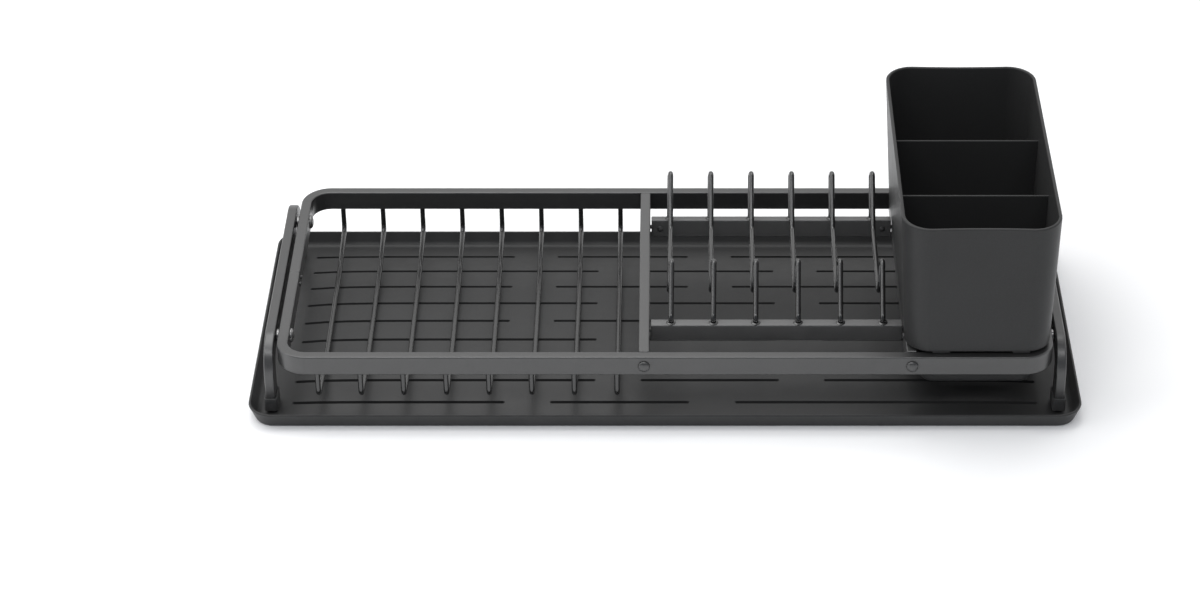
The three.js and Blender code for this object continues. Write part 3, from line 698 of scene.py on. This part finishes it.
def bracket_pin(node, side):
    """Its head lies inside the frame, and its shank crosses the gap into the bracket."""
    low, high = node_box(node)
    bar_low, bar_high = node_box("frame_bar")
    face = bar_high.x - BAR_T if side > 0 else bar_low.x + BAR_T
    tip, end = (low.x, high.x) if side > 0 else (high.x, low.x)
    origin = (face, (low.y + high.y) / 2, FASTENER_Z)
    proud, shank = abs(tip - face), abs(end - face)
    return [headed_pin(origin, X_AXIS * side, BRACKET_HEAD_R, proud, BRACKET_SHANK_R, shank)]


def pin_spacer(node, side):
    """The short sleeve on a bracket pin, between frame and bracket."""
    low, high = node_box(node)
    start, length = (low.x, high.x - low.x) if side > 0 else (high.x, high.x - low.x)
    radius = (high.z - low.z) / 2
    end_radius = radius - SPACER_EDGE
    profile = [(0, end_radius), (0.25, radius), (length - 0.25, radius), (length, end_radius)]
    return [lathe(profile, (start, (low.y + high.y) / 2, FASTENER_Z), X_AXIS * side)]


def splice_pin(node):
    """A small pin in the inner face of the frame's left side, next to the seam."""
    low, high = node_box(node)
    face = node_box("frame_bar")[0].x + BAR_T
    origin = (face, (low.y + high.y) / 2, FASTENER_Z)
    proud = high.x - face
    return [headed_pin(origin, -X_AXIS, SPLICE_HEAD_R, proud, SPLICE_SHANK_R, SPLICE_SHANK, edge=0.2)]


def rail_screw(node, toward):
    """A screw sunk in a crossbar's far face; toward is the way it points along X, into the rail's end."""
    low, high = node_box(node)
    middle = (low + high) / 2
    start, end = (low.x, high.x) if toward > 0 else (high.x, low.x)
    origin = (start + toward * SCREW_HEAD_H, middle.y, middle.z)
    shank = abs(end - start) - SCREW_HEAD_H
    return [headed_pin(origin, X_AXIS * toward, SCREW_HEAD_R, SCREW_HEAD_H, SCREW_SHANK_R, shank)]


def rail_pin(node, side):
    """A small round-headed pin in a rail's inner face, square to it."""
    low, high = node_box(node)
    centre = rail_centre(side)
    across = Vector((0, side * math.cos(RAIL_TILT), -math.sin(RAIL_TILT)))
    origin = Vector(((low.x + high.x) / 2, centre.y, centre.z)) - across * (BAR_T / 2)
    return [headed_pin(origin, across, SMALL_HEAD_R, SMALL_HEAD_H, SMALL_SHANK_R, SMALL_SHANK)]


def stop_pin(node, toward):
    """A small pin in a crossbar's face beside the front rail; its head points toward +X or -X."""
    low, high = node_box(node)
    tip, end = (high.x, low.x) if toward > 0 else (low.x, high.x)
    face = tip - toward * PIN_PROUD
    origin = (face, (low.y + high.y) / 2, FASTENER_Z)
    shank = abs(end - face)
    return [headed_pin(origin, X_AXIS * -toward, SMALL_HEAD_R, SMALL_HEAD_H, SMALL_SHANK_R, shank)]


def foot_sleeve(node):
    """A rubber cap with a rounded lip, over the end of a leg."""
    low, high = node_box(node)
    centre = (low + high) / 2
    width, depth = high.x - low.x, high.y - low.y
    wall = 1.0
    profile = [(1.2, low.z), (0.5, low.z + 0.1), (0.1, low.z + 0.5), (0.0, low.z + 1.2)]
    profile += [(0.15, high.z - 0.6), (0.3, high.z - 0.2), (0.6, high.z), (wall, high.z - 0.2)]
    profile += [(wall + 0.05, high.z - 0.6), (wall + 0.05, low.z + 1.2)]
    rings = []
    for inset, z in profile:
        outline = rounded_rectangle(width - 2 * inset, depth - 2 * inset, max(1.4 - inset, 0.3))
        rings.append([Vector((centre.x + u, centre.y + v, z)) for u, v in outline])
    return [skin(rings)]


# ---- wires ------------------------------------------------------------------------------------------

WIRE_R = 1.5
COLLAR_R = 2.75
COLLAR_H = 1.1
GLASS_WIRE_BENDS = (
    # y, z, bend radius, between the two upright ends
    (86.5, 17.5, 5.5),
    (48.0, 12.5, 60.0),
    (-48.0, 12.5, 60.0),
    (-88.0, 18.0, 5.5),
)
PLATE_WIRE_X = 3.2
PLATE_WIRE_PITCH = 24.13
FIN_HALF = 2.6  # half the distance between the two legs of a fin at its tip
FIN_BEND = 2.5
SEAT_DEPTH = 3.7


def glass_wire(node):
    """One wire from the rear bar down, forward under the glasses and up to the front bar."""
    low, high = node_box(node)
    x = (low.x + high.x) / 2
    first, last = GLASS_WIRE_BENDS[0], GLASS_WIRE_BENDS[-1]
    corners = [((x, first[0], high.z), 0)]
    corners += [((x, y, z), r) for y, z, r in GLASS_WIRE_BENDS]
    corners += [((x, last[0], high.z), 0)]
    path = rounded_path(corners, step=8)
    return [tube(path, [WIRE_R] * len(path))]


def fin_tip(x, y, z, lean, rise):
    """The two square bends round the tip of a fin, first the rear one."""
    bends = []
    for sign in (1, -1):
        point = (x + sign * lean, y + sign * FIN_HALF * math.sin(rise), z - sign * FIN_HALF * math.cos(rise))
        bends.append((point, FIN_BEND))
    return bends


def above_rail(x, side, height):
    """A point above the middle of a rail's top, square to it."""
    point = rail_centre(side) + rail_up(side) * (RAIL_H / 2 + height)
    return (x, point.y, point.z)


def plate_wire(index):
    """From the rear rail up over the rear fin, along the middle, over the front fin and down again."""
    x = PLATE_WIRE_X + PLATE_WIRE_PITCH * index
    rear_x, front_x = x - 0.6, x + 0.2
    corners = [(above_rail(rear_x, 1, COLLAR_H), 0), (above_rail(rear_x, 1, 3), 4)]
    corners += fin_tip(x, 71.3, 67.1, -0.3, math.radians(45))
    corners += [((x + 0.1, 44.5, 44.5), 6), ((x - 0.9, -36.5, 50.5), 5)]
    corners += fin_tip(x + 0.5, -26.5, 68.3, -0.2, math.radians(51))
    corners += [(above_rail(front_x, -1, 3), 4), (above_rail(front_x, -1, COLLAR_H), 0)]
    path = rounded_path(corners, step=8)
    radii = [WIRE_R] * len(path)
    # The collar's profile from the wire down into the rail: (height above the rail's top, radius).
    collar = [(COLLAR_H * 0.55, 1.75), (COLLAR_H * 0.2, COLLAR_R - 0.1)]
    collar += [(-0.1, COLLAR_R), (-SEAT_DEPTH, WIRE_R)]
    head = [(Vector(above_rail(rear_x, 1, height)), radius) for height, radius in reversed(collar)]
    tail = [(Vector(above_rail(front_x, -1, height)), radius) for height, radius in collar]
    path = [point for point, _ in head] + path + [point for point, _ in tail]
    radii = [radius for _, radius in head] + radii + [radius for _, radius in tail]
    return [tube(path, radii)]


# ---- cutlery basket ---------------------------------------------------------------------------------

# Plans of the basket's outside: x from, x to, y from, y to, corner radius. From floor to rim.
BASKET_PLANS = (
    (143.6, 209.2, -81.6, 80.6, 9.0),
    (142.4, 210.1, -83.6, 82.4, 10.0),
    (135.0, 217.0, -88.0, 86.0, 14.0),
    (130.0, 218.4, -91.4, 89.0, 16.0),
)
FLOOR, NECK, SHOULDER, RIM = range(4)
SHOULDER_Z = 47.5
BASKET_WALL = 2.0
BASKET_BOW = 0.7  # the front and rear walls are drawn in by this much at the middle of the rim
DIVIDER_Y = (-31.5, 28.5)
DIVIDER_TOP = 116.0
DIVIDER_T = 1.4
SLOT_LENGTH = 36.0
SLOT_WIDTH = 4.0
SLOT_STEP = 12
SHOULDER_SPAN = 7.0  # how far the shoulder stands out from the neck
PAD_X = (155.0, 200.0)
PAD_Y = (-86.3, 84.6)
PAD_SIZE = (10, 2.4)
PLAN_CORNER_STEPS = 10
WALL_STEPS = 8  # stretches along a wall, and up it


def plan_at(stage):
    """The plan at a stage between two of the basket's plans, such as 2.5 halfway from shoulder to rim."""
    lower = min(int(stage), RIM - 1)
    share = stage - lower
    return [a + (b - a) * share for a, b in zip(BASKET_PLANS[lower], BASKET_PLANS[lower + 1])]


def basket_ring(stage, inset, z):
    """The outline of a stage's plan, drawn in by inset, at height z."""
    x0, x1, y0, y1, r = plan_at(stage)
    bow = BASKET_BOW * max(0, stage - SHOULDER)
    half_x, half_y = (x1 - x0) / 2 - inset, (y1 - y0) / 2 - inset
    radius = max(r - inset, 0.5)
    corner = rounded_rectangle(2 * half_x, 2 * half_y, radius, steps=PLAN_CORNER_STEPS)
    points = []
    for k, (u, v) in enumerate(corner):
        points.append((u, v))
        if k % (PLAN_CORNER_STEPS + 1) == PLAN_CORNER_STEPS:
            nu, nv = corner[(k + 1) % len(corner)]
            for s in range(1, WALL_STEPS):
                points.append((u + (nu - u) * s / WALL_STEPS, v + (nv - v) * s / WALL_STEPS))
    flat = half_x - radius
    middle = Vector(((x0 + x1) / 2, (y0 + y1) / 2, z))
    ring = []
    for u, v in points:
        inward = bow * max(0, 1 - (u / flat) ** 2) if abs(v) > half_y - radius else 0
        ring.append(middle + Vector((u, v - math.copysign(inward, v), 0)))
    return ring


def quarter(steps=5):
    """Angles of a quarter turn, ends included."""
    return [math.radians(90 * k / steps) for k in range(steps + 1)]


def basket_shell(floor_z, rim_z):
    """The basket's skin: up the outside from floor to rim, and down the inside again."""
    floor_r, shoulder_r, neck_r, lip_r = 3.0, 1.3, 1.2, 0.85
    rings = []

    def wall_ring(k, inset):
        z = SHOULDER_Z + (rim_z - SHOULDER_Z) * k / WALL_STEPS
        return basket_ring(SHOULDER + k / WALL_STEPS, inset, z)

    for a in quarter():
        rings.append(basket_ring(FLOOR, floor_r * (1 - math.sin(a)), floor_z + floor_r * (1 - math.cos(a))))
    for a in quarter():
        out = neck_r * (1 - math.cos(a)) / SHOULDER_SPAN
        rings.append(basket_ring(NECK + out, 0, SHOULDER_Z - neck_r * (1 - math.sin(a))))
    for a in quarter():
        z = SHOULDER_Z + shoulder_r * (1 - math.cos(a))
        rings.append(basket_ring(SHOULDER, shoulder_r * (1 - math.sin(a)), z))
    for k in range(1, WALL_STEPS):
        rings.append(wall_ring(k, 0))
    for a in quarter():
        rings.append(basket_ring(RIM, lip_r * (1 - math.cos(a)), rim_z - lip_r * (1 - math.sin(a))))
    for a in reversed(quarter()):
        inset = BASKET_WALL - lip_r * (1 - math.cos(a))
        rings.append(basket_ring(RIM, inset, rim_z - lip_r * (1 - math.sin(a))))
    inner_shoulder = SHOULDER_Z + BASKET_WALL
    for k in range(WALL_STEPS - 1, 0, -1):
        rings.append(wall_ring(k, BASKET_WALL))
    for a in reversed(quarter()):
        inset = BASKET_WALL + shoulder_r * (1 - math.sin(a))
        rings.append(basket_ring(SHOULDER, inset, inner_shoulder + shoulder_r * (1 - math.cos(a))))
    for a in reversed(quarter()):
        out = neck_r * (1 - math.cos(a)) / SHOULDER_SPAN
        rings.append(basket_ring(NECK + out, BASKET_WALL, inner_shoulder - neck_r * (1 - math.sin(a))))
    for a in reversed(quarter()):
        inset = BASKET_WALL + floor_r * (1 - math.sin(a))
        rings.append(basket_ring(FLOOR, inset, floor_z + BASKET_WALL + floor_r * (1 - math.cos(a))))
    return skin(rings)


def divider(y, floor_z, rim_z):
    """A thin wall whose edges are sunk half into the basket's skin, with a rounded top."""
    sunk = BASKET_WALL / 2

    def outline(drop):
        top = DIVIDER_TOP - drop
        share = (top - SHOULDER_Z) / (rim_z - SHOULDER_Z)
        left, right = [], []
        for stage, z in (
            (FLOOR, floor_z + sunk),
            (NECK, SHOULDER_Z + sunk),
            (SHOULDER, SHOULDER_Z + sunk),
            (SHOULDER + share, top),
        ):
            x0, x1 = plan_at(stage)[:2]
            left.append((x0 + sunk, z))
            right.append((x1 - sunk, z))
        return right + left[::-1]

    half = DIVIDER_T / 2
    rounding = [(-half, 0.5), (-half + 0.2, 0.15), (-half + 0.45, 0.0)]
    steps = rounding + [(-offset, drop) for offset, drop in reversed(rounding)]
    return skin([[Vector((x, y + offset, z)) for x, z in outline(drop)] for offset, drop in steps])


def support_pads():
    """Low pads under the shoulder, which keep the basket's edge just clear of the frame."""
    pads = []
    for x in PAD_X:
        for y in PAD_Y:
            rings = []
            for inset, z in ((0.5, 46.3), (0.15, 46.4), (0.0, 46.8), (0.0, SHOULDER_Z + 1)):
                outline = rounded_rectangle(PAD_SIZE[0] - 2 * inset, PAD_SIZE[1] - 2 * inset, 0.6)
                rings.append([Vector((x + u, y + v, z)) for u, v in outline])
            pads.append(skin(rings))
    return pads


def drain_slots(floor_z):
    """Stadium-shaped cutters through the floor, three to a compartment."""
    slots = []
    stops = [BASKET_PLANS[FLOOR][2], *DIVIDER_Y, BASKET_PLANS[FLOOR][3]]
    x = (BASKET_PLANS[FLOOR][0] + BASKET_PLANS[FLOOR][1]) / 2
    for front, rear in zip(stops, stops[1:]):
        for step in (-SLOT_STEP, 0, SLOT_STEP):
            outline = rounded_rectangle(SLOT_LENGTH, SLOT_WIDTH, SLOT_WIDTH / 2 - 0.01, steps=6)
            y = (front + rear) / 2 + step
            heights = (floor_z - 3, floor_z + 5)
            slots.append(skin([[Vector((x + u, y + v, z)) for u, v in outline] for z in heights]))
    return slots


def combined(name, base, others, operation):
    """The base mesh joined with, or cut by, the other closed parts."""
    target = bpy.data.objects.new(name, base)
    tool = bpy.data.objects.new(f"{name}_tool", make_mesh(f"{name}_tool", others))
    for made in (target, tool):
        bpy.context.scene.collection.objects.link(made)
    change = target.modifiers.new("change", "BOOLEAN")
    change.operation = operation
    change.solver = "EXACT"
    change.object = tool
    bpy.context.view_layer.update()
    result = bpy.data.meshes.new_from_object(target.evaluated_get(bpy.context.evaluated_depsgraph_get()))
    for made in (target, tool):
        bpy.data.objects.remove(made)
    return result


def cutlery_basket(material):
    """The shell with its dividers and pads joined on and its drain slots cut, as one closed mesh."""
    low, high = node_box("cutlery_basket")
    rim_z = high.z
    mesh = make_mesh("basket_shell", [basket_shell(low.z, rim_z)])
    for y in DIVIDER_Y:
        mesh = combined("basket_walls", mesh, [divider(y, low.z, rim_z)], "UNION")
    mesh = combined("basket_pads", mesh, support_pads(), "UNION")
    mesh = combined("basket_floor", mesh, drain_slots(low.z), "DIFFERENCE")
    smooth_mesh(mesh, SHARP_ANGLE)
    mesh.name = "cutlery_basket_finished"
    return stand_for("cutlery_basket", mesh, material)


# ---- stage ------------------------------------------------------------------------------------------

TABLE_HALF = 4.0
TABLE_Z = -0.0002  # just under the tray, so that the two faces don't meet
WORLD_FRONT = (0.22, 0.235, 0.26, 1)
WORLD_REAR = (1.0, 1.0, 1.0, 1)
WORLD_SHOWN = (1.2, 1.2, 1.2, 1)
SOFTBOXES = (
    # name, watts, size, place, aim
    ("key_softbox", 20, (2.0, 1.2), (-0.4, 0.35, 1.8), (0, 0, 0)),
    ("strip_softbox", 10, (1.8, 0.22), (-0.1, -1.1, 1.65), (0, 0, 0.05)),
    ("side_softbox", 7, (0.9, 1.2), (-1.5, -0.3, 0.8), (0, 0, 0.05)),
)


def add_floor(material):
    mesh = bpy.data.meshes.new("table_top")
    corners = [(-1, -1), (1, -1), (1, 1), (-1, 1)]
    mesh.from_pydata([(x * TABLE_HALF, y * TABLE_HALF, TABLE_Z) for x, y in corners], [], [(0, 1, 2, 3)])
    add_object("table_top", mesh, material)


def add_world():
    """A studio whose light grows from front to rear; the backdrop itself shows white."""
    world = bpy.data.worlds.new("studio")
    bpy.context.scene.world = world
    world.use_nodes = True
    tree = world.node_tree
    nodes = tree.nodes
    background = nodes["Background"]
    way = nodes.new("ShaderNodeSeparateXYZ")
    tree.links.new(nodes.new("ShaderNodeTexCoord").outputs["Generated"], way.inputs["Vector"])
    rearward = nodes.new("ShaderNodeMapRange")
    rearward.interpolation_type = "SMOOTHSTEP"
    rearward.inputs["From Min"].default_value = -0.5
    rearward.inputs["From Max"].default_value = 0.5
    rearward.inputs["To Min"].default_value = 0.0
    rearward.inputs["To Max"].default_value = 1.0
    tree.links.new(way.outputs["Y"], rearward.inputs["Value"])
    light = nodes.new("ShaderNodeMix")
    light.data_type = "RGBA"
    light.inputs[6].default_value = WORLD_FRONT
    light.inputs[7].default_value = WORLD_REAR
    tree.links.new(rearward.outputs["Result"], light.inputs[0])
    shown = nodes.new("ShaderNodeMix")
    shown.data_type = "RGBA"
    shown.inputs[7].default_value = WORLD_SHOWN
    tree.links.new(light.outputs[2], shown.inputs[6])
    tree.links.new(nodes.new("ShaderNodeLightPath").outputs["Is Camera Ray"], shown.inputs[0])
    tree.links.new(shown.outputs[2], background.inputs["Color"])


def add_softbox(name, power, size, place, aim):
    data = bpy.data.lights.new(name, "AREA")
    data.shape = "RECTANGLE"
    data.energy = power
    data.size, data.size_y = size
    made = bpy.data.objects.new(name, data)
    made.location = place
    made.rotation_euler = (Vector(aim) - Vector(place)).to_track_quat("-Z", "Y").to_euler()
    bpy.context.scene.collection.objects.link(made)


def add_lights():
    for softbox in SOFTBOXES:
        add_softbox(*softbox)


# ---- the scene --------------------------------------------------------------------------------------

bpy.context.scene.view_settings.view_transform = "Standard"
make_camera()

steel = painted_steel()
wire = coated_wire()
bright = bright_steel()
rubber = foot_rubber()

finished("tray", tray_parts(), tray_plastic(), sharp=50)
finished("frame_bar", frame_bar(), steel)
for node in ("crossbar_centre", "crossbar_right"):
    crossbar(node, steel)
for end in ("front", "rear"):
    side = rail_side(end)
    finished(f"plate_rail_{end}", plate_rail(f"plate_rail_{end}", side), steel)
    for place in ("centre", "right"):
        node = f"rivet_{place}_{end}"
        finished(node, frame_rivet(node, side), steel)
    for hand, toward in (("left", 1), ("right", -1)):
        node = f"rail_screw_{end}_{hand}"
        finished(node, rail_screw(node, toward), steel)
        node = f"rail_pin_{end}_{hand}"
        finished(node, rail_pin(node, side), steel)
for hand, side in (("left", -1), ("right", 1)):
    finished(f"stop_pin_{hand}", stop_pin(f"stop_pin_{hand}", -side), steel)
    finished(f"leg_bracket_{hand}", leg_bracket(f"leg_bracket_{hand}"), steel)
    for end in ("front", "rear"):
        node = f"foot_{hand}_{end}"
        finished(node, foot_sleeve(node), rubber)
        node = f"bracket_pin_{hand}_{end}"
        finished(node, bracket_pin(node, side), bright)
        node = f"pin_spacer_{hand}_{end}"
        finished(node, pin_spacer(node, side), bright)
for number in (1, 2):
    finished(f"splice_pin_{number}", splice_pin(f"splice_pin_{number}"), steel)
for number in range(1, 9):
    finished(f"glass_wire_{number}", glass_wire(f"glass_wire_{number}"), wire)
for number in range(1, 7):
    finished(f"plate_wire_{number}", plate_wire(number - 1), wire)
cutlery_basket(basket_plastic())

add_floor(white_table())
add_world()
add_lights()
